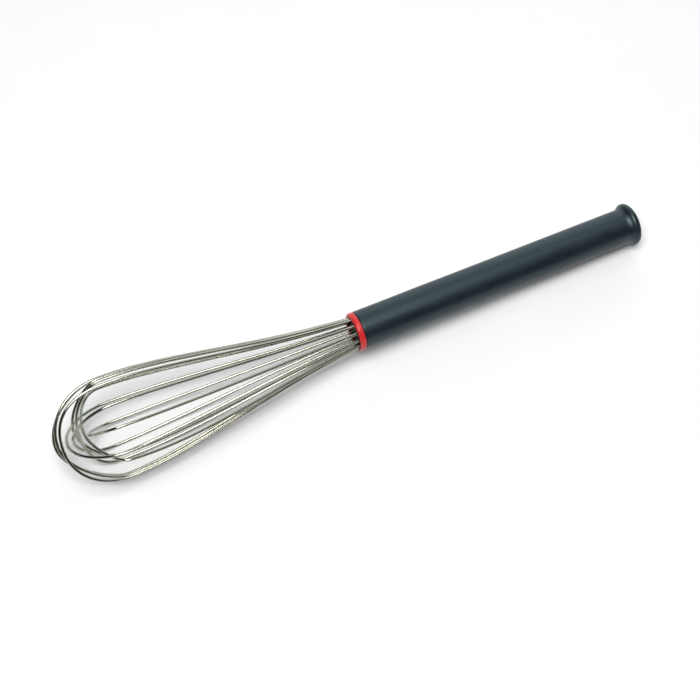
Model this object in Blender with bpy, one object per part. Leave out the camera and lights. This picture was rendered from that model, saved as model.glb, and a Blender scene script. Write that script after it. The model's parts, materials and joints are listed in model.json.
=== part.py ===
"""Balloon whisk: a composite tube handle with a collar ring, holding nested loops of steel wire.

Every piece is modelled in the whisk's own frame: X runs along the handle's centre line, from the
collar ring's front face (X = 0) to the butt end, and the balloon of wire lies at negative X.
The pieces hang on one empty, which lays the whisk down as it rests on a bench: on the fullest
part of the balloon and on the rim of the flared butt.
Angles round the centre line are degrees from straight up, turning towards -Y.
"""
import math

import bmesh
import bpy
from mathutils import Vector

# ---- driving dimensions, metres ----
GAP = 0.0003                # clearance between pieces that touch on the real whisk
TURNED_STEPS = 44           # flats round a turned piece

WIRE_RADIUS = 0.00105
WIRE_SEAT_RADIUS = 0.0102   # circle of wires where the guide holds them
WIRE_TAIL = 0.034           # length of wire inside the handle
BALLOON_RADIUS = 0.0351     # centre line of the wires at the fullest part
BALLOON_S = 0.1787          # distance of the fullest part from the collar

HANDLE_RADIUS = 0.01405     # at the collar
HANDLE_END_RADIUS = 0.0134  # just before the flare: the handle tapers slightly
BORE_RADIUS = 0.0124
BORE_END_RADIUS = 0.0116    # the bore tapers too, so that its core pulls out
HANDLE_EDGE = 0.0004        # chamfer where the handle meets the ring
RIM_RADIUS = 0.0160         # widest part of the flared butt
RIM_X = 0.2243
BUTT_X = 0.2295
FLARE_FILLET = 0.0070       # hollow curve at the start of the flare
FLARE_ROUND = 0.0030        # round of the rim
ROUND_END_DEG = 35.0        # where the rim's round passes into the dome
DOME_SHOULDER = (0.0042, 0.0122)    # X from the rim, radius: where the dome's two slopes would meet

PLUG_HOLE_RADIUS = 0.0085   # opening in the butt
PLUG_LENGTH = 0.0157
PLUG_CROWN = (0.0012, 0.0024)       # the plug's rounded edge: along X, along the radius
SOCKET_DEPTH = 0.0167       # straight part of the opening, from the butt
SOCKET_TAPER = 0.0035

RING_LENGTH = 0.0042
RING_NOSE = (0.0019, 0.0019)        # the ring's rounded front: along X, along the radius
LIP_RADIUS = 0.0120         # the ring's mouth
NECK_RADIUS = 0.0131        # reduced end of the handle under the collar ring
NECK_X = 0.0016

GUIDE_X = (0.0030, 0.0150)
BAND_X = (0.0175, 0.0255)
RESIN_X = (0.0153, 0.0346, 0.0410)

# Half profile of the balloon: distance from the collar, radius of the wire circle.
BALLOON_PROFILE = (
    (-0.0060, WIRE_SEAT_RADIUS),
    (0.0000, 0.0106),
    (0.0227, 0.0130),
    (0.0517, 0.0170),
    (0.0797, 0.0218),
    (0.1077, 0.0269),
    (0.1347, 0.0314),
    (0.1597, 0.0344),
    (BALLOON_S, BALLOON_RADIUS),
)

# One row per wire, outermost first: distance of its end loop from the collar, then for each of
# its two legs the angle at the collar, the angle at the fullest part, and how far the loop
# keeps to the leg's direction and to the end loop's direction (0 slack, 1 square).
WIRES = (
    (0.2203, (274, 290, 0.50, 0.50), (142, 135, 0.36, 0.44)),
    (0.2187, (288, 299, 0.60, 0.55), (127, 129, 0.40, 0.46)),
    (0.2169, (333, 328, 0.55, 0.72), (112, 115, 0.60, 0.55)),
    (0.2125, (236, 236, 0.40, 0.65), (63, 57, 0.45, 0.60)),
    (0.2080, (364, 361, 0.45, 0.60), (189, 185, 0.62, 0.55)),
    (0.2048, (303, 309, 0.35, 0.45), (174, 172, 0.38, 0.42)),
    (0.2027, (318, 317, 0.38, 0.52), (158, 165, 0.60, 0.75)),
    (0.1995, (255, 261, 0.55, 0.50), (90, 68, 0.40, 0.38)),
    (0.1970, (212, 212, 0.50, 0.45), (33, 27, 0.50, 0.45)),
)
DRIFT_POWER = 1.5           # how late a leg turns from its angle at the collar
LEG_POINTS = 12             # points along each leg outside the handle
LOOP_POINTS = 22            # points round each end loop


def clear_scene():
    for obj in list(bpy.data.objects):
        bpy.data.objects.remove(obj, do_unlink=True)


def principled(name, colour, roughness, metallic=0.0):
    material = bpy.data.materials.new(name)
    material.use_nodes = True
    shader = material.node_tree.nodes["Principled BSDF"]
    shader.inputs["Base Color"].default_value = (*colour, 1.0)
    shader.inputs["Roughness"].default_value = roughness
    shader.inputs["Metallic"].default_value = metallic
    return material


def add_object(name, data, material, parent):
    data.materials.append(material)
    obj = bpy.data.objects.new(name, data)
    bpy.context.scene.collection.objects.link(obj)
    obj.parent = parent
    return obj


def across(angle_deg):
    """Unit vector square to the centre line at an angle from straight up, towards -Y."""
    angle = math.radians(angle_deg)
    return Vector((0.0, -math.sin(angle), math.cos(angle)))


def finish_mesh(bm, name, sharp_deg=35.0):
    bmesh.ops.recalc_face_normals(bm, faces=bm.faces)
    mesh = bpy.data.meshes.new(name)
    bm.to_mesh(mesh)
    bm.free()
    mesh.shade_smooth()
    mesh.set_sharp_from_angle(angle=math.radians(sharp_deg))
    return mesh


def turned_mesh(name, profile, closed):
    """Spin (x, radius) points round the centre line; an open profile gets flat end discs."""
    bm = bmesh.new()
    rings = []
    for x, radius in profile:
        ring = []
        for step in range(TURNED_STEPS):
            ring.append(bm.verts.new(across(360.0 * step / TURNED_STEPS) * radius + Vector((x, 0, 0))))
        rings.append(ring)
    pairs = list(zip(rings, rings[1:]))
    if closed:
        pairs.append((rings[-1], rings[0]))
    for near, far in pairs:
        for step in range(TURNED_STEPS):
            after = (step + 1) % TURNED_STEPS
            bm.faces.new((near[step], near[after], far[after], far[step]))
    if not closed:
        bm.faces.new(rings[0])
        bm.faces.new(rings[-1])
    return finish_mesh(bm, name)


def arc(centre_x, centre_r, radius_x, radius_r, start_deg, end_deg, steps):
    """Points of an elliptic arc in the (x, radius) plane, 0 degrees along +X."""
    points = []
    for step in range(steps + 1):
        angle = math.radians(start_deg + (end_deg - start_deg) * step / steps)
        points.append((centre_x + radius_x * math.cos(angle), centre_r + radius_r * math.sin(angle)))
    return points


def bend(start, middle, end, steps):
    """Points of a quadratic curve from start to end, without its first one."""
    points = []
    for step in range(1, steps + 1):
        t = step / steps
        weights = ((1 - t) ** 2, 2 * t * (1 - t), t * t)
        points.append(tuple(sum(w * p[k] for w, p in zip(weights, (start, middle, end))) for k in (0, 1)))
    return points


def flared_butt():
    """Outline from the end of the grip over the flare and the rim to the dome's opening."""
    rise = RIM_RADIUS - HANDLE_END_RADIUS
    turn = math.acos(1.0 - rise / (FLARE_FILLET + FLARE_ROUND))
    start_x = RIM_X - (FLARE_FILLET + FLARE_ROUND) * math.sin(turn)
    turn_deg = math.degrees(turn)
    fillet = arc(start_x, HANDLE_END_RADIUS + FLARE_FILLET, FLARE_FILLET, FLARE_FILLET, -90, turn_deg - 90, 4)
    rim_centre = RIM_RADIUS - FLARE_ROUND
    rim = arc(RIM_X, rim_centre, FLARE_ROUND, FLARE_ROUND, turn_deg + 90, ROUND_END_DEG, 7)
    shoulder = (RIM_X + DOME_SHOULDER[0], DOME_SHOULDER[1])
    dome = bend(rim[-1], shoulder, (BUTT_X - GAP, PLUG_HOLE_RADIUS), 4)
    return fillet[:-1] + rim + dome


def handle_shell(parent, material):
    """Hollow handle: neck, slightly tapered grip, flared butt with a domed end, tapered bore."""
    mouth = RING_LENGTH + GAP
    front = [
        (NECK_X, NECK_RADIUS),
        (mouth, NECK_RADIUS),
        (mouth, HANDLE_RADIUS - HANDLE_EDGE),
        (mouth + HANDLE_EDGE, HANDLE_RADIUS),
    ]
    socket_x = BUTT_X - SOCKET_DEPTH
    bore = [
        (socket_x, PLUG_HOLE_RADIUS),
        (socket_x - SOCKET_TAPER, BORE_END_RADIUS),
        (NECK_X, BORE_RADIUS),
    ]
    mesh = turned_mesh("handle_shell", front + flared_butt() + bore, closed=True)
    add_object("handle_shell", mesh, material, parent)


def collar_ring(parent, material):
    """Coloured ring over the handle's neck, with a rounded front and a thin inward lip."""
    back_edge = HANDLE_EDGE / 2
    seat_radius = NECK_RADIUS + GAP
    lip_back = NECK_X - GAP
    nose = arc(RING_NOSE[0], HANDLE_RADIUS - RING_NOSE[1], RING_NOSE[0], RING_NOSE[1], 180, 90, 5)
    profile = [(0.0, LIP_RADIUS)] + nose
    profile += [
        (RING_LENGTH - back_edge, HANDLE_RADIUS),
        (RING_LENGTH, HANDLE_RADIUS - back_edge),
        (RING_LENGTH, seat_radius),
        (lip_back, seat_radius),
        (lip_back, LIP_RADIUS),
    ]
    add_object("collar_ring", turned_mesh("collar_ring", profile, closed=True), material, parent)


def leg_seats():
    """Angles at the collar of every wire leg, in order round the guide."""
    seats = []
    for row in WIRES:
        seats += [leg[0] % 360 for leg in row[1:]]
    return sorted(seats)


def guide_outline(outer_radius):
    """Round outline with one open slot for each wire leg, as (y, z) vectors."""
    slot = WIRE_RADIUS + GAP
    shoulder = math.sqrt(outer_radius ** 2 - slot ** 2)
    half_slot_deg = math.degrees(math.asin(slot / outer_radius))
    seats = leg_seats()
    points = []
    for index, seat in enumerate(seats):
        outward = across(seat)
        sideways = across(seat + 90)
        points.append(outward * shoulder - sideways * slot)
        for step in range(7):
            turn = math.radians(180.0 * step / 6)
            centre = outward * WIRE_SEAT_RADIUS
            points.append(centre - sideways * slot * math.cos(turn) - outward * slot * math.sin(turn))
        points.append(outward * shoulder + sideways * slot)
        following = seats[(index + 1) % len(seats)] + (360 if index + 1 == len(seats) else 0)
        land_start = seat + half_slot_deg
        land_end = following - half_slot_deg
        pieces = max(1, round((land_end - land_start) / 8))
        for step in range(1, pieces):
            points.append(across(land_start + (land_end - land_start) * step / pieces) * outer_radius)
    return points


def wire_guide(parent, material):
    """Slotted plug in the handle's mouth that spaces the wire legs round the collar."""
    bm = bmesh.new()
    outline = guide_outline(BORE_RADIUS - GAP)
    front = [bm.verts.new(point + Vector((GUIDE_X[0], 0, 0))) for point in outline]
    back = [bm.verts.new(point + Vector((GUIDE_X[1], 0, 0))) for point in outline]
    for index in range(len(outline)):
        after = (index + 1) % len(outline)
        bm.faces.new((front[index], front[after], back[after], back[index]))
    bm.faces.new(front)
    bm.faces.new(back)
    add_object("wire_guide", finish_mesh(bm, "wire_guide"), material, parent)


def binding_band(parent, material):
    """Steel band crimped round the wire tails behind the guide."""
    inner = WIRE_SEAT_RADIUS + WIRE_RADIUS + GAP
    outer = BORE_RADIUS - GAP
    profile = [(BAND_X[0], inner), (BAND_X[0], outer), (BAND_X[1], outer), (BAND_X[1], inner)]
    add_object("binding_band", turned_mesh("binding_band", profile, closed=True), material, parent)


def resin_plug(parent, material):
    """Cast sealing plug: a core inside the ring of wire tails and a disc that fills the bore."""
    core = WIRE_SEAT_RADIUS - WIRE_RADIUS - GAP
    full = BORE_RADIUS - GAP
    profile = [(RESIN_X[0], core), (RESIN_X[1], core), (RESIN_X[1], full), (RESIN_X[2], full)]
    add_object("resin_plug", turned_mesh("resin_plug", profile, closed=False), material, parent)


def end_plug(parent, material):
    """Plug that closes the butt, with a crowned edge and a flat middle."""
    radius = PLUG_HOLE_RADIUS - GAP
    lead_in = HANDLE_EDGE
    inner_x = BUTT_X - PLUG_LENGTH
    crown_x, crown_r = PLUG_CROWN
    crown = arc(BUTT_X - crown_x, radius - crown_r, crown_x, crown_r, 90, 0, 4)
    profile = [(inner_x, radius - lead_in), (inner_x + lead_in, radius)] + crown
    add_object("end_plug", turned_mesh("end_plug", profile, closed=False), material, parent)


def balloon_radius(distance):
    """Radius of the wire circle at a distance from the collar: a smooth curve through the profile."""
    knots = BALLOON_PROFILE
    if distance <= knots[0][0]:
        return knots[0][1]
    slopes = [0.0]
    for before, here, after in zip(knots, knots[1:], knots[2:]):
        slopes.append((after[1] - before[1]) / (after[0] - before[0]))
    slopes.append(0.0)
    for index in range(len(knots) - 1):
        (s0, r0), (s1, r1) = knots[index], knots[index + 1]
        if distance <= s1:
            step = s1 - s0
            t = (distance - s0) / step
            rise = (3 - 2 * t) * t * t
            bend_in = t * (1 - t) ** 2 * slopes[index] * step
            bend_out = t * t * (t - 1) * slopes[index + 1] * step
            return r0 + (r1 - r0) * rise + bend_in + bend_out
    return knots[-1][1]


def leg_points(leg):
    """One leg from its tail inside the handle out to the fullest part of the balloon."""
    at_collar, at_full = leg[0], leg[1]
    distances = [-WIRE_TAIL, -GUIDE_X[1], -0.006]
    distances += [BALLOON_S * (step / LEG_POINTS) for step in range(LEG_POINTS + 1)]
    points = []
    for distance in distances:
        drift = max(0.0, distance / BALLOON_S) ** DRIFT_POWER
        angle = at_collar + (at_full - at_collar) * drift
        points.append(across(angle) * balloon_radius(distance) - Vector((distance, 0, 0)))
    return points


def heading(leg):
    """Direction of a leg at the fullest part, scaled to one metre along the whisk."""
    drift = math.radians(leg[1] - leg[0]) * DRIFT_POWER / BALLOON_S
    return Vector((-1.0, 0.0, 0.0)) + across(leg[1] + 90) * (drift * BALLOON_RADIUS)


def half_loop(full_point, leg, end_point, along, steps):
    """Bezier from the fullest part of a leg to the middle of the end loop."""
    reach = full_point.x - end_point.x
    near = full_point + heading(leg) * (leg[2] * reach)
    far = end_point + along * (leg[3] * BALLOON_RADIUS)
    points = []
    for step in range(1, steps + 1):
        t = step / steps
        point = full_point * (1 - t) ** 3 + near * (3 * t * (1 - t) ** 2)
        point += far * (3 * t * t * (1 - t)) + end_point * t ** 3
        points.append(point)
    return points


def wire_path(end_distance, leg_a, leg_b):
    """Centre line of one wire: up one leg, round the end loop and back down the other leg."""
    side_a = across(leg_a[1])
    side_b = across(leg_b[1])
    along = (side_a - side_b).normalized()
    middle = (side_a + side_b) * (BALLOON_RADIUS / 2) - Vector((end_distance, 0, 0))
    path_a = leg_points(leg_a)
    path_b = leg_points(leg_b)
    loop_a = half_loop(path_a[-1], leg_a, middle, along, LOOP_POINTS // 2)
    loop_b = half_loop(path_b[-1], leg_b, middle, -along, LOOP_POINTS // 2)
    return path_a + loop_a + loop_b[-2::-1] + path_b[::-1]


def wire(number, row, parent, material):
    curve = bpy.data.curves.new(f"wire_{number}", "CURVE")
    curve.dimensions = "3D"
    curve.bevel_depth = WIRE_RADIUS
    curve.bevel_resolution = 2
    curve.use_fill_caps = True
    curve.render_resolution_u = 0
    path = wire_path(*row)
    spline = curve.splines.new("POLY")
    spline.points.add(len(path) - 1)
    for point, place in zip(spline.points, path):
        point.co = (*place, 1.0)
    add_object(f"wire_{number}", curve, material, parent)


def lay_down(rig):
    """Tilt the whisk onto its balloon and its rim, with the box's bottom centre at the origin."""
    drop = BALLOON_RADIUS + WIRE_RADIUS - RIM_RADIUS
    rig.rotation_euler = (0.0, math.asin(drop / (BALLOON_S + RIM_X)), 0.0)
    bpy.context.view_layer.update()
    graph = bpy.context.evaluated_depsgraph_get()
    corners = []
    for obj in rig.children:
        solid = obj.evaluated_get(graph)
        mesh = solid.to_mesh()
        corners += [solid.matrix_world @ vertex.co for vertex in mesh.vertices]
        solid.to_mesh_clear()
    low = [min(corner[axis] for corner in corners) for axis in range(3)]
    high = [max(corner[axis] for corner in corners) for axis in range(3)]
    rig.location = (-(low[0] + high[0]) / 2, -(low[1] + high[1]) / 2, -low[2])
    bpy.context.view_layer.update()


def main():
    clear_scene()
    composite = principled("dark_composite", (0.045, 0.065, 0.080), 0.55)
    red = principled("red_plastic", (0.62, 0.035, 0.020), 0.35)
    steel = principled("polished_steel", (0.62, 0.62, 0.58), 0.18, metallic=1.0)
    guide = principled("black_plastic", (0.020, 0.018, 0.018), 0.60)
    resin = principled("sealing_resin", (0.060, 0.045, 0.035), 0.40)
    band = principled("band_steel", (0.50, 0.50, 0.50), 0.35, metallic=1.0)

    rig = bpy.data.objects.new("whisk_axis", None)
    bpy.context.scene.collection.objects.link(rig)
    handle_shell(rig, composite)
    collar_ring(rig, red)
    wire_guide(rig, guide)
    binding_band(rig, band)
    resin_plug(rig, resin)
    end_plug(rig, composite.copy())
    for number, row in enumerate(WIRES, start=1):
        wire(number, row, rig, steel)
    lay_down(rig)


main()
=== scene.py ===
"""Balloon whisk: the looks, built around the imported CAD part.

Every visible piece is modelled in the whisk's own frame: X runs along the handle's centre line
from the collar ring's front face (X = 0) to the butt, and the balloon of wire lies at negative X.
Angles round the centre line are degrees from straight up, turning towards -Y.
The finished mesh is then laid into the row frame with the CAD nodes.
"""

import json
import math

import bmesh
import bpy
from mathutils import Matrix, Vector, noise


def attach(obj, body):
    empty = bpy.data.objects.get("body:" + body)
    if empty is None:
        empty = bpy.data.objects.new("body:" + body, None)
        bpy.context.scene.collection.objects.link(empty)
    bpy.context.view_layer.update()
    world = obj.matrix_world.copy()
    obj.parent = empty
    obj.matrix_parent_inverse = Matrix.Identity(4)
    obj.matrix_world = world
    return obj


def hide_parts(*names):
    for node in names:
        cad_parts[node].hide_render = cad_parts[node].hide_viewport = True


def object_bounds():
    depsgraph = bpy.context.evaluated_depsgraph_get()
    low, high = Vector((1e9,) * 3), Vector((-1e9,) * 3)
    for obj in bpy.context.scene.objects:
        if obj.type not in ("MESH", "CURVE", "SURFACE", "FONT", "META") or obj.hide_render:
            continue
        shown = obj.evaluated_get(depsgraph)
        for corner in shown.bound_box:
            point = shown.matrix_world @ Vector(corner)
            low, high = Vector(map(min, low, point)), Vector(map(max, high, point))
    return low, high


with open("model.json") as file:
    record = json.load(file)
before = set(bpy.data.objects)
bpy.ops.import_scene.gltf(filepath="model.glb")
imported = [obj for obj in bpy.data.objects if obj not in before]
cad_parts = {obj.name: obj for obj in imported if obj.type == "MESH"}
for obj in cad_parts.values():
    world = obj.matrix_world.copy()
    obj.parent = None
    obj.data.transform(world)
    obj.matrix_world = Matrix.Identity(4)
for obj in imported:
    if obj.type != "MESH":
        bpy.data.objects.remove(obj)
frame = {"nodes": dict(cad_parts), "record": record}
CAD_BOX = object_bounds()

# ---- sizes that the CAD part is built from, metres ----
WIRE_RADIUS = 0.00105
WIRE_SEAT_RADIUS = 0.0102   # circle of wires where the guide holds them
WIRE_TAIL = 0.034           # length of wire inside the handle
WIRE_SEAT_END = 0.006       # depth behind the collar at which the wires start to spread
BALLOON_RADIUS = 0.0351     # centre line of the wires at the fullest part
BALLOON_S = 0.1787          # distance of the fullest part from the collar
HANDLE_RADIUS = 0.01405     # at the collar
HANDLE_END_RADIUS = 0.0134  # just before the flare
NECK_RADIUS = 0.0131        # reduced end of the handle under the collar ring
BORE_RADIUS = 0.0124
BORE_END_RADIUS = 0.0116
DOME_LENGTH = 0.0052        # from the widest part of the rim to the butt face
FLARE_FILLET = 0.0070       # hollow curve at the start of the flare
FLARE_ROUND = 0.0030        # round of the rim
ROUND_END_DEG = 35.0        # where the rim's round passes into the dome
DOME_SHOULDER = (0.0042, 0.0122)    # X from the rim, radius: where the dome's two slopes would meet
HANDLE_EDGE = 0.0006        # round at the grip's front edge
SOCKET_DEPTH_SPARE = 0.0010 # room behind the end plug
SOCKET_TAPER = 0.0035       # length over which the plug's socket narrows to the bore
RING_EDGE = 0.0004          # round of the collar ring's lip and back edge
RING_NOSE = (0.0019, 0.0018)        # X and radius of the ring's round nose
RING_LIP = 0.0013           # thickness of the ring's inward lip
PLUG_CHAMFER = 0.0006
PLUG_CROWN = (0.0012, 0.0024)       # X and radius of the plug's rounded edge
GAP = 0.0003

# Half profile of the balloon: distance from the collar, radius of the wire circle.
BALLOON_PROFILE = (
    (-WIRE_SEAT_END, WIRE_SEAT_RADIUS),
    (0.0000, 0.0106),
    (0.0227, 0.0130),
    (0.0517, 0.0170),
    (0.0797, 0.0218),
    (0.1077, 0.0269),
    (0.1347, 0.0314),
    (0.1597, 0.0344),
    (BALLOON_S, BALLOON_RADIUS),
)

# One row per wire, outermost first: distance of its end loop from the collar, then for each of
# its two legs the angle at the collar, the angle at the fullest part, and how far the loop
# keeps to the leg's direction and to the end loop's direction (0 slack, 1 square).
WIRES = (
    (0.2203, (274, 290, 0.50, 0.50), (142, 135, 0.36, 0.44)),
    (0.2187, (288, 299, 0.60, 0.55), (127, 129, 0.40, 0.46)),
    (0.2169, (333, 328, 0.55, 0.72), (112, 115, 0.60, 0.55)),
    (0.2125, (236, 236, 0.40, 0.65), (63, 57, 0.45, 0.60)),
    (0.2080, (364, 361, 0.45, 0.60), (189, 185, 0.62, 0.55)),
    (0.2048, (303, 309, 0.35, 0.45), (174, 172, 0.38, 0.42)),
    (0.2027, (318, 317, 0.38, 0.52), (158, 165, 0.60, 0.75)),
    (0.1995, (255, 261, 0.55, 0.50), (90, 68, 0.40, 0.38)),
    (0.1970, (212, 212, 0.50, 0.45), (33, 27, 0.50, 0.45)),
)
DRIFT_POWER = 1.5           # how late a leg turns from its angle at the collar
LEG_POINTS = 44             # points along each leg outside the handle
LOOP_POINTS = 72            # points round each end loop
WIRE_SIDES = 16
TURNED_STEPS = 128          # flats round a turned piece
GRIP_STEPS = 110            # rings along the grip
SHARP_EDGE_DEG = 40.0       # edges sharper than this are not smoothed

# ---- the grip's moulded unevenness ----
MOULD_DEPTH = 0.00006       # metres of wall per unit of noise
MOULD_SINK = 0.7            # units of noise taken off, so that the wall mostly sinks
MOULD_ROUND = 90.0          # noise per metre round the grip
MOULD_ALONG = 35.0          # noise per metre along it
MOULD_MARGIN = 0.0001       # surfaces this far under the grip's end radius stay true

# ---- camera and light ----
CAMERA_ELEVATION = 62.9     # degrees above the bench
CAMERA_TURN = 25.26         # degrees towards the balloon's side from square to the handle
CAMERA_DISTANCE = 1.10      # from the collar
CAMERA_LENS = 80.35         # mm, on Blender's 36 mm sensor
FRAMING_LEFT = 0.0022       # the view's middle, from the collar
FRAMING_DOWN = 0.0120
BENCH_SIZE = 6.0
BENCH_DROP = 0.0001         # keeps the bench clear of the lowest wire

# Share of a noise texture's range that materials are spread over.
NOISE_LOW = 0.3
NOISE_HIGH = 0.7


def across(angle_deg):
    """Unit vector square to the centre line at an angle from straight up, towards -Y."""
    angle = math.radians(angle_deg)
    return Vector((0.0, -math.sin(angle), math.cos(angle)))


def whisk_matrix():
    """Matrix from the whisk's own frame to the row frame, from the butt mount and the collar."""
    butt = next(m for m in frame["record"]["mounts"] if m["name"] == "butt_face")
    along = Vector(butt["axis"]).normalized()
    side = Vector((0.0, 1.0, 0.0))
    up = along.cross(side)
    face = Vector(butt["pos_m"])
    collar = frame["nodes"]["collar_ring"].data.vertices
    origin = face + along * min((vertex.co - face).dot(along) for vertex in collar)
    return Matrix((
        (along.x, side.x, up.x, origin.x),
        (along.y, side.y, up.y, origin.y),
        (along.z, side.z, up.z, origin.z),
        (0.0, 0.0, 0.0, 1.0),
    ))


TO_ROW = whisk_matrix()


def span(node):
    """Lowest and highest X and radius of a CAD node in the whisk's own frame."""
    back = TO_ROW.inverted()
    points = [back @ vertex.co for vertex in frame["nodes"][node].data.vertices]
    radii = [math.hypot(point.y, point.z) for point in points]
    return min(p.x for p in points), max(p.x for p in points), min(radii), max(radii)


# ---- materials ----
def new_material(name, colour, roughness, metallic=0.0):
    material = bpy.data.materials.new(name)
    material.use_nodes = True
    shader = material.node_tree.nodes["Principled BSDF"]
    shader.inputs["Base Color"].default_value = (*colour, 1.0)
    shader.inputs["Roughness"].default_value = roughness
    shader.inputs["Metallic"].default_value = metallic
    return material, material.node_tree, shader


def add_node(tree, kind, **sockets):
    made = tree.nodes.new(kind)
    for name, value in sockets.items():
        made.inputs[name.replace("_", " ")].default_value = value
    return made


def noise_node(tree, place, scale, detail=3.0, roughness=0.6):
    made = add_node(tree, "ShaderNodeTexNoise", Scale=scale, Detail=detail, Roughness=roughness)
    tree.links.new(place, made.inputs["Vector"])
    return made.outputs["Fac"]


def ramp(tree, factor, stops):
    """Colour ramp from (position, colour) stops."""
    made = tree.nodes.new("ShaderNodeValToRGB")
    elements = made.color_ramp.elements
    while len(elements) < len(stops):
        elements.new(0.5)
    for element, (position, colour) in zip(elements, stops):
        element.position = position
        element.color = (*colour, 1.0)
    tree.links.new(factor, made.inputs["Fac"])
    return made.outputs["Color"]


def spread(tree, factor, low, high):
    """Map a noise factor onto a range of values."""
    made = add_node(tree, "ShaderNodeMapRange", To_Min=low, To_Max=high)
    made.inputs["From Min"].default_value = NOISE_LOW
    made.inputs["From Max"].default_value = NOISE_HIGH
    tree.links.new(factor, made.inputs["Value"])
    return made.outputs["Result"]


def stretched(tree, place, scale):
    made = tree.nodes.new("ShaderNodeMapping")
    made.inputs["Scale"].default_value = scale
    tree.links.new(place, made.inputs["Vector"])
    return made.outputs["Vector"]


def bump(tree, shader, height, strength, distance, before=None):
    made = add_node(tree, "ShaderNodeBump", Strength=strength, Distance=distance)
    tree.links.new(height, made.inputs["Height"])
    if before is not None:
        tree.links.new(before, made.inputs["Normal"])
    tree.links.new(made.outputs["Normal"], shader.inputs["Normal"])
    return made.outputs["Normal"]


def object_place(tree):
    return tree.nodes.new("ShaderNodeTexCoord").outputs["Object"]


def composite_material():
    """Matte glass-filled plastic: slate with a fine mottle and a moulded grain."""
    material, tree, shader = new_material("dark_composite_skin", (0.05, 0.08, 0.09), 0.6)
    place = object_place(tree)
    mottle = noise_node(tree, place, 420.0, detail=5.0, roughness=0.65)
    colour = ramp(tree, mottle, (
        (0.25, (0.003, 0.006, 0.010)),
        (0.55, (0.006, 0.012, 0.018)),
        (0.80, (0.012, 0.022, 0.028)),
    ))
    tree.links.new(colour, shader.inputs["Base Color"])
    cloud = noise_node(tree, place, 70.0)
    tree.links.new(spread(tree, cloud, 0.37, 0.46), shader.inputs["Roughness"])
    coarse = bump(tree, shader, noise_node(tree, place, 1100.0), 0.35, 0.00008)
    bump(tree, shader, noise_node(tree, place, 3000.0), 0.30, 0.00004, before=coarse)
    shader.inputs["Specular IOR Level"].default_value = 0.60
    shader.inputs["Specular Tint"].default_value = (0.74, 0.97, 1.0, 1.0)
    return material


def red_material():
    """Moulded red plastic, satin, a little deeper where the pigment clouds."""
    material, tree, shader = new_material("red_plastic_skin", (0.58, 0.02, 0.02), 0.35)
    place = object_place(tree)
    cloud = noise_node(tree, place, 260.0, detail=4.0)
    colour = ramp(tree, cloud, ((0.30, (0.52, 0.014, 0.016)), (0.70, (0.64, 0.026, 0.022))))
    tree.links.new(colour, shader.inputs["Base Color"])
    tree.links.new(spread(tree, noise_node(tree, place, 900.0), 0.28, 0.40), shader.inputs["Roughness"])
    bump(tree, shader, noise_node(tree, place, 1500.0), 0.15, 0.00003)
    return material


def steel_material():
    """Polished drawn wire: bright steel with fine lines along it and a slight warm and green tint."""
    material, tree, shader = new_material("polished_steel_skin", (0.62, 0.62, 0.58), 0.18, metallic=1.0)
    place = tree.nodes.new("ShaderNodeAttribute")
    place.attribute_name = "wire_place"
    lines = noise_node(tree, stretched(tree, place.outputs["Vector"], (60.0, 5200.0, 5200.0)), 1.0)
    patches = noise_node(tree, stretched(tree, place.outputs["Vector"], (45.0, 300.0, 300.0)), 1.0)
    colour = ramp(tree, patches, (
        (0.25, (0.30, 0.32, 0.265)),
        (0.50, (0.38, 0.385, 0.325)),
        (0.75, (0.47, 0.45, 0.365)),
    ))
    tree.links.new(colour, shader.inputs["Base Color"])
    tree.links.new(spread(tree, lines, 0.10, 0.19), shader.inputs["Roughness"])
    bump(tree, shader, lines, 0.10, 0.00001)
    return material


def guide_material():
    """Near-black moulded plastic in the collar's mouth."""
    material, tree, shader = new_material("black_plastic_skin", (0.02, 0.018, 0.018), 0.55)
    place = object_place(tree)
    cloud = noise_node(tree, place, 500.0)
    colour = ramp(tree, cloud, ((0.30, (0.014, 0.011, 0.012)), (0.70, (0.030, 0.022, 0.022))))
    tree.links.new(colour, shader.inputs["Base Color"])
    tree.links.new(spread(tree, cloud, 0.45, 0.62), shader.inputs["Roughness"])
    bump(tree, shader, noise_node(tree, place, 1400.0), 0.25, 0.00004)
    return material


def resin_material():
    """Cast amber-brown sealing resin."""
    material, tree, shader = new_material("sealing_resin_skin", (0.06, 0.045, 0.035), 0.3)
    place = object_place(tree)
    cloud = noise_node(tree, place, 180.0, detail=4.0)
    colour = ramp(tree, cloud, ((0.30, (0.045, 0.030, 0.022)), (0.70, (0.085, 0.060, 0.042))))
    tree.links.new(colour, shader.inputs["Base Color"])
    tree.links.new(spread(tree, cloud, 0.20, 0.38), shader.inputs["Roughness"])
    bump(tree, shader, cloud, 0.30, 0.00020)
    return material


def band_material():
    """Brushed steel strip, lines running round it."""
    material, tree, shader = new_material("band_steel_skin", (0.5, 0.5, 0.5), 0.35, metallic=1.0)
    lines = noise_node(tree, stretched(tree, object_place(tree), (4200.0, 160.0, 160.0)), 1.0)
    colour = ramp(tree, lines, ((0.30, (0.42, 0.42, 0.43)), (0.70, (0.60, 0.60, 0.59))))
    tree.links.new(colour, shader.inputs["Base Color"])
    tree.links.new(spread(tree, lines, 0.28, 0.42), shader.inputs["Roughness"])
    bump(tree, shader, lines, 0.25, 0.00003)
    return material


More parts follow.
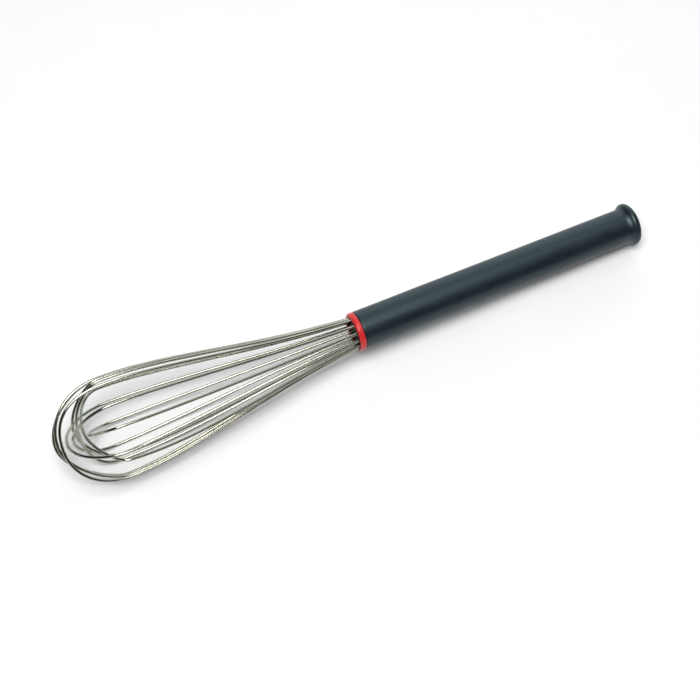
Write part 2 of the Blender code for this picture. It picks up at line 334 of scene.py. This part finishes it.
# ---- meshes ----
def finish_piece(bm, name, material, cad_node):
    """Turn a bmesh into a piece in the row frame that rides on the part and stands for its CAD node."""
    bmesh.ops.recalc_face_normals(bm, faces=bm.faces)
    mesh = bpy.data.meshes.new(name)
    bm.to_mesh(mesh)
    bm.free()
    mesh.transform(TO_ROW)
    mesh.shade_smooth()
    mesh.set_sharp_from_angle(angle=math.radians(SHARP_EDGE_DEG))
    mesh.materials.append(material)
    piece = bpy.data.objects.new(name, mesh)
    bpy.context.scene.collection.objects.link(piece)
    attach(piece, "root")
    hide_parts(cad_node)


def turned_bmesh(profile, closed, surface=None):
    """Spin (x, radius) points round the centre line; surface(x, radius, angle) may move the skin."""
    bm = bmesh.new()
    rings = []
    for x, radius in profile:
        ring = []
        for step in range(TURNED_STEPS):
            angle = 360.0 * step / TURNED_STEPS
            raised = radius + (surface(x, radius, angle) if surface else 0.0)
            ring.append(bm.verts.new(across(angle) * raised + Vector((x, 0.0, 0.0))))
        rings.append(ring)
    pairs = list(zip(rings, rings[1:]))
    if closed:
        pairs.append((rings[-1], rings[0]))
    for near, far in pairs:
        for step in range(TURNED_STEPS):
            after = (step + 1) % TURNED_STEPS
            bm.faces.new((near[step], near[after], far[after], far[step]))
    if not closed:
        bm.faces.new(rings[0])
        bm.faces.new(rings[-1])
    return bm


def arc(centre_x, centre_r, radius_x, radius_r, start_deg, end_deg, steps):
    """Points of an elliptic arc in the (x, radius) plane, 0 degrees along +X."""
    points = []
    for step in range(steps + 1):
        angle = math.radians(start_deg + (end_deg - start_deg) * step / steps)
        points.append((centre_x + radius_x * math.cos(angle), centre_r + radius_r * math.sin(angle)))
    return points


def between(start, end, steps):
    """Points along a straight run of a profile, without its first one."""
    points = []
    for step in range(1, steps + 1):
        share = step / steps
        points.append((start[0] + (end[0] - start[0]) * share, start[1] + (end[1] - start[1]) * share))
    return points


# ---- wires ----
def balloon_radius(distance):
    """Radius of the wire circle at a distance from the collar: a smooth curve through the profile."""
    knots = BALLOON_PROFILE
    if distance <= knots[0][0]:
        return knots[0][1]
    slopes = [0.0]
    for before, here, after in zip(knots, knots[1:], knots[2:]):
        slopes.append((after[1] - before[1]) / (after[0] - before[0]))
    slopes.append(0.0)
    for index in range(len(knots) - 1):
        (s0, r0), (s1, r1) = knots[index], knots[index + 1]
        if distance <= s1:
            step = s1 - s0
            t = (distance - s0) / step
            rise = (3 - 2 * t) * t * t
            bend_in = t * (1 - t) ** 2 * slopes[index] * step
            bend_out = t * t * (t - 1) * slopes[index + 1] * step
            return r0 + (r1 - r0) * rise + bend_in + bend_out
    return knots[-1][1]


def leg_points(leg):
    """One leg from its tail inside the handle out to the fullest part of the balloon."""
    at_collar, at_full = leg[0], leg[1]
    distances = [-WIRE_TAIL, -WIRE_TAIL / 2, -WIRE_SEAT_END, -WIRE_SEAT_END / 2]
    distances += [BALLOON_S * (step / LEG_POINTS) for step in range(LEG_POINTS + 1)]
    points = []
    for distance in distances:
        drift = max(0.0, distance / BALLOON_S) ** DRIFT_POWER
        angle = at_collar + (at_full - at_collar) * drift
        points.append(across(angle) * balloon_radius(distance) - Vector((distance, 0, 0)))
    return points


def heading(leg):
    """Direction of a leg at the fullest part, scaled to one metre along the whisk."""
    drift = math.radians(leg[1] - leg[0]) * DRIFT_POWER / BALLOON_S
    return Vector((-1.0, 0.0, 0.0)) + across(leg[1] + 90) * (drift * BALLOON_RADIUS)


def half_loop(full_point, leg, end_point, along, steps):
    """Bezier from the fullest part of a leg to the middle of the end loop."""
    reach = full_point.x - end_point.x
    near = full_point + heading(leg) * (leg[2] * reach)
    far = end_point + along * (leg[3] * BALLOON_RADIUS)
    points = []
    for step in range(1, steps + 1):
        t = step / steps
        point = full_point * (1 - t) ** 3 + near * (3 * t * (1 - t) ** 2)
        point += far * (3 * t * t * (1 - t)) + end_point * t ** 3
        points.append(point)
    return points


def wire_path(end_distance, leg_a, leg_b):
    """Centre line of one wire: up one leg, round the end loop and back down the other leg."""
    side_a = across(leg_a[1])
    side_b = across(leg_b[1])
    along = (side_a - side_b).normalized()
    middle = (side_a + side_b) * (BALLOON_RADIUS / 2) - Vector((end_distance, 0, 0))
    path_a = leg_points(leg_a)
    path_b = leg_points(leg_b)
    loop_a = half_loop(path_a[-1], leg_a, middle, along, LOOP_POINTS // 2)
    loop_b = half_loop(path_b[-1], leg_b, middle, -along, LOOP_POINTS // 2)
    return path_a + loop_a + loop_b[-2::-1] + path_b[::-1]


def tube_bmesh(path, radius, sides):
    """Round tube along a path; each vertex keeps its place on the straightened wire."""
    bm = bmesh.new()
    place = bm.verts.layers.float_vector.new("wire_place")
    tangents = []
    for index in range(len(path)):
        before = path[max(0, index - 1)]
        after = path[min(len(path) - 1, index + 1)]
        tangents.append((after - before).normalized())
    normal = tangents[0].orthogonal().normalized()
    rings = []
    length = 0.0
    for index, (point, tangent) in enumerate(zip(path, tangents)):
        if index:
            length += (point - path[index - 1]).length
            normal = (normal - tangent * normal.dot(tangent)).normalized()
        side = tangent.cross(normal)
        ring = []
        for step in range(sides):
            turn = math.tau * step / sides
            out = normal * math.cos(turn) + side * math.sin(turn)
            vertex = bm.verts.new(point + out * radius)
            vertex[place] = (length, radius * math.cos(turn), radius * math.sin(turn))
            ring.append(vertex)
        rings.append(ring)
    for near, far in zip(rings, rings[1:]):
        for step in range(sides):
            after = (step + 1) % sides
            bm.faces.new((near[step], near[after], far[after], far[step]))
    bm.faces.new(rings[0])
    bm.faces.new(rings[-1])
    return bm


def wires(steel):
    """One bright tube for each row of the wire table."""
    for number, row in enumerate(WIRES, start=1):
        bm = tube_bmesh(wire_path(*row), WIRE_RADIUS, WIRE_SIDES)
        finish_piece(bm, f"wire_{number}_bright", steel, f"wire_{number}")


# ---- handle ----
def bend(start, middle, end, steps):
    """Points of a quadratic curve from start to end, without its first one."""
    points = []
    for step in range(1, steps + 1):
        t = step / steps
        weights = ((1 - t) ** 2, 2 * t * (1 - t), t * t)
        points.append(tuple(sum(w * p[k] for w, p in zip(weights, (start, middle, end))) for k in (0, 1)))
    return points


def flared_butt(butt_x, rim_radius, hole_radius):
    """Outline from the end of the grip over the flare and the rim to the dome's opening."""
    rim_x = butt_x - DOME_LENGTH
    turn = math.acos(1.0 - (rim_radius - HANDLE_END_RADIUS) / (FLARE_FILLET + FLARE_ROUND))
    start_x = rim_x - (FLARE_FILLET + FLARE_ROUND) * math.sin(turn)
    turn_deg = math.degrees(turn)
    fillet_r = HANDLE_END_RADIUS + FLARE_FILLET
    round_r = rim_radius - FLARE_ROUND
    fillet = arc(start_x, fillet_r, FLARE_FILLET, FLARE_FILLET, -90, turn_deg - 90, steps=14)
    rim = arc(rim_x, round_r, FLARE_ROUND, FLARE_ROUND, turn_deg + 90, ROUND_END_DEG, steps=24)
    shoulder = (rim_x + DOME_SHOULDER[0], DOME_SHOULDER[1])
    dome = bend(rim[-1], shoulder, (butt_x - GAP, hole_radius), steps=16)
    return fillet[:-1] + rim + dome


def moulded(x, radius, angle):
    """The grip is never quite true: its wall mostly sinks, by up to a tenth of a millimetre."""
    if radius < HANDLE_END_RADIUS - MOULD_MARGIN:
        return 0.0
    point = across(angle) * (radius * MOULD_ROUND) + Vector((x * MOULD_ALONG, 0.0, 0.0))
    return MOULD_DEPTH * (noise.noise(point) - MOULD_SINK)


def handle_skin(composite):
    """Hollow handle: neck under the ring, tapered grip, filleted flare, domed butt with a plug hole."""
    low, _, _, rim_radius = span("handle_shell")
    plug_low, butt_x, _, plug_radius = span("end_plug")
    mouth = span("collar_ring")[1] + GAP
    edge = HANDLE_EDGE
    shoulder = arc(mouth + edge, HANDLE_RADIUS - edge, edge, edge, 180, 90, steps=6)
    butt = flared_butt(butt_x, rim_radius, plug_radius + GAP)
    grip = between(shoulder[-1], butt[0], GRIP_STEPS)[:-1]
    socket = plug_low - SOCKET_DEPTH_SPARE
    bore = [(socket, plug_radius + GAP), (socket - SOCKET_TAPER, BORE_END_RADIUS), (low, BORE_RADIUS)]
    profile = [(low, NECK_RADIUS), (mouth, NECK_RADIUS)] + shoulder + grip + butt + bore
    bm = turned_bmesh(profile, closed=True, surface=moulded)
    finish_piece(bm, "handle_skin", composite, "handle_shell")


def collar_skin(red):
    """Red ring over the neck: thin inward lip, full round nose, small round at the back edge."""
    low, high, lip_radius, outer = span("collar_ring")
    seat = NECK_RADIUS + GAP
    edge = RING_EDGE
    nose_x, nose_r = RING_NOSE
    lip_edge = arc(low + edge, lip_radius + edge, edge, edge, 270, 180, steps=6)
    nose = arc(low + nose_x, outer - nose_r, nose_x, nose_r, 180, 90, steps=14)
    back_edge = arc(high - edge, outer - edge, edge, edge, 90, 0, steps=5)
    profile = lip_edge + nose + back_edge
    profile += [(high, seat), (low + RING_LIP, seat), (low + RING_LIP, lip_radius)]
    bm = turned_bmesh(profile, closed=True)
    finish_piece(bm, "collar_skin", red, "collar_ring")


def plug_skin(composite):
    """End plug with a chamfered inner end, a crowned outer edge and a flat face."""
    low, high, _, radius = span("end_plug")
    crown_x, crown_r = PLUG_CROWN
    crown = arc(high - crown_x, radius - crown_r, crown_x, crown_r, 90, 0, steps=12)
    profile = [(low, radius - PLUG_CHAMFER), (low + PLUG_CHAMFER, radius)] + crown
    bm = turned_bmesh(profile, closed=False)
    finish_piece(bm, "plug_skin", composite, "end_plug")


def dress_cad_nodes():
    """The pieces inside the handle keep their CAD shape and get finishes of their own."""
    finishes = {
        "wire_guide": guide_material(),
        "resin_plug": resin_material(),
        "binding_band": band_material(),
    }
    for node, material in finishes.items():
        mesh = frame["nodes"][node].data
        mesh.materials.clear()
        mesh.materials.append(material)


# ---- bench, light, camera ----
def view_axes():
    """Directions from the whisk to the camera, to the picture's right and to its top."""
    elevation = math.radians(CAMERA_ELEVATION)
    turn = math.radians(CAMERA_TURN)
    flat = Vector((-math.sin(turn), -math.cos(turn), 0.0))
    towards = flat * math.cos(elevation) + Vector((0.0, 0.0, math.sin(elevation)))
    right = Vector((math.cos(turn), -math.sin(turn), 0.0))
    return towards, right, towards.cross(right)


def camera():
    towards, right, up = view_axes()
    collar = TO_ROW.translation
    data = bpy.data.cameras.new("camera")
    data.lens = CAMERA_LENS
    obj = bpy.data.objects.new("camera", data)
    bpy.context.scene.collection.objects.link(obj)
    obj.location = collar + towards * CAMERA_DISTANCE
    aim = collar - right * FRAMING_LEFT - up * FRAMING_DOWN
    back = (obj.location - aim).normalized()
    side = up.cross(back).normalized()
    obj.rotation_mode = "QUATERNION"
    obj.rotation_quaternion = Matrix((side, back.cross(side), back)).transposed().to_quaternion()
    bpy.context.scene.camera = obj


def bench():
    material, tree, shader = new_material("bench_white", (0.85, 0.85, 0.855), 0.7)
    cloud = noise_node(tree, object_place(tree), 12.0)
    colour = ramp(tree, cloud, ((0.30, (0.845, 0.845, 0.85)), (0.70, (0.865, 0.865, 0.87))))
    tree.links.new(colour, shader.inputs["Base Color"])
    shader.inputs["Specular IOR Level"].default_value = 0.1
    bm = bmesh.new()
    bmesh.ops.create_grid(bm, x_segments=8, y_segments=8, size=BENCH_SIZE)
    mesh = bpy.data.meshes.new("bench")
    bm.to_mesh(mesh)
    bm.free()
    mesh.materials.append(material)
    obj = bpy.data.objects.new("bench", mesh)
    bpy.context.scene.collection.objects.link(obj)
    obj.location.z = CAD_BOX[0].z - BENCH_DROP


def softbox(name, bearing, elevation, distance, size, power, colour):
    """Area light aimed at the whisk's middle; bearing is degrees from the picture's top to its right."""
    _, right, _ = view_axes()
    away = Vector((0.0, 0.0, 1.0)).cross(right)
    turn = math.radians(bearing)
    flat = away * math.cos(turn) + right * math.sin(turn)
    rise = math.radians(elevation)
    direction = flat * math.cos(rise) + Vector((0.0, 0.0, math.sin(rise)))
    data = bpy.data.lights.new(name, "AREA")
    data.shape = "RECTANGLE"
    data.size, data.size_y = size
    data.energy = power
    data.color = colour
    obj = bpy.data.objects.new(name, data)
    bpy.context.scene.collection.objects.link(obj)
    obj.location = direction * distance
    obj.rotation_mode = "QUATERNION"
    obj.rotation_quaternion = (-direction).to_track_quat("-Z", "Y")


def lights():
    softbox("key", -165.0, 76.0, 2.0, (1.0, 1.0), 43.0, (1.0, 0.985, 0.975))
    softbox("top", 28.0, 64.0, 2.0, (1.2, 1.2), 6.5, (0.96, 0.985, 1.0))
    softbox("back", 5.0, 22.0, 2.2, (3.0, 1.5), 21.0, (0.88, 0.98, 1.0))
    world = bpy.data.worlds.new("studio")
    world.use_nodes = True
    background = world.node_tree.nodes["Background"]
    background.inputs["Color"].default_value = (0.80, 0.84, 1.0, 1.0)
    background.inputs["Strength"].default_value = 0.025
    bpy.context.scene.world = world
    bpy.context.scene.view_settings.view_transform = "Standard"


def main():
    composite = composite_material()
    handle_skin(composite)
    plug_skin(composite)
    collar_skin(red_material())
    wires(steel_material())
    dress_cad_nodes()
    bench()
    lights()
    camera()


main()
